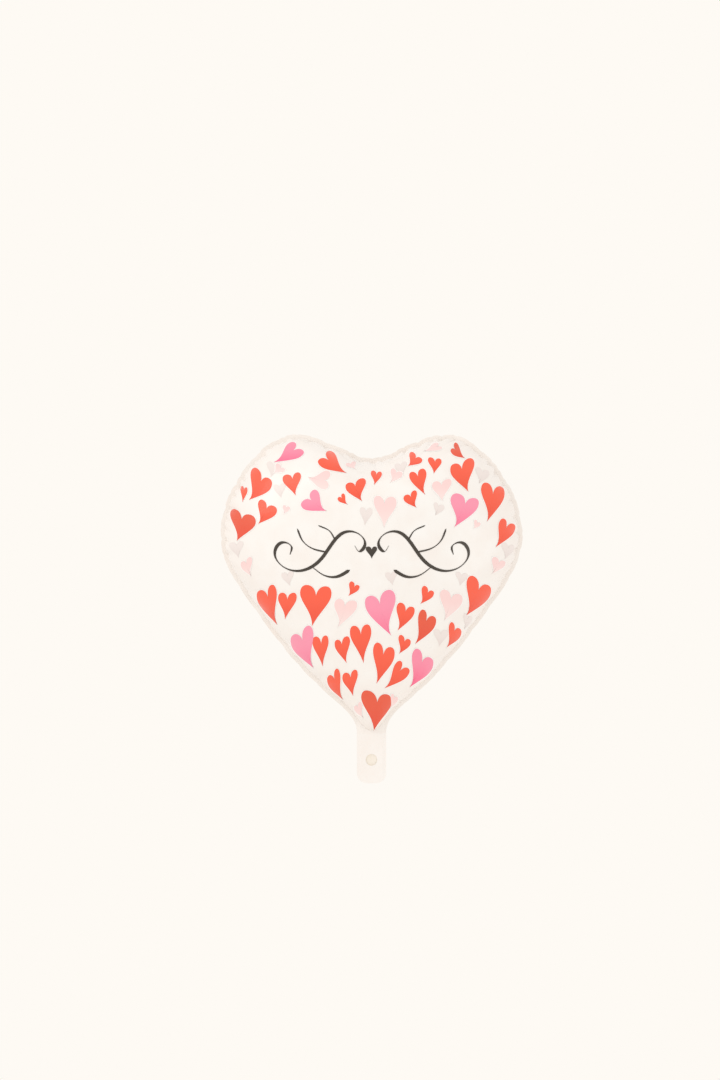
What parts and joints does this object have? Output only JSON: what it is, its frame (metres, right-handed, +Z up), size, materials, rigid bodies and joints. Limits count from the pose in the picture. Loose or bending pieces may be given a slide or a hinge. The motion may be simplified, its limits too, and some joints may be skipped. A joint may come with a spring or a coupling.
{
  "type": "heart-shaped foil balloon",
  "caption": "Heart-shaped foil balloon, inflated, with a flat heat-sealed seam, a folding filling tail with an inflation hole, and a self-sealing film valve inside.",
  "frame": {"origin": "middle of the crease at the neck, where the filling tail folds and a ribbon is tied", "axes": "+Z up, from the neck to the lobes; the front film faces -Y; +X to the right seen from the front"},
  "size_m": [0.381, 0.18, 0.4395],
  "materials": {
    "foil": "pearly white film with printed hearts",
    "valve_film": "clear, slightly milky thin film"
  },
  "bodies": {
    "balloon": {"front_film": "foil", "back_film": "foil", "valve_front": "valve_film", "valve_back": "valve_film"},
    "tail": {"tail_front_film": "foil", "tail_back_film": "foil", "valve_inlet_front": "valve_film", "valve_inlet_back": "valve_film"}
  },
  "joints": [
    {"name": "tail_fold", "type": "hinge", "parent": "balloon", "child": "tail", "pos_m": [0, 0, 0], "axis": [1, 0, 0], "range_deg": [-110, 110]}
  ]
}
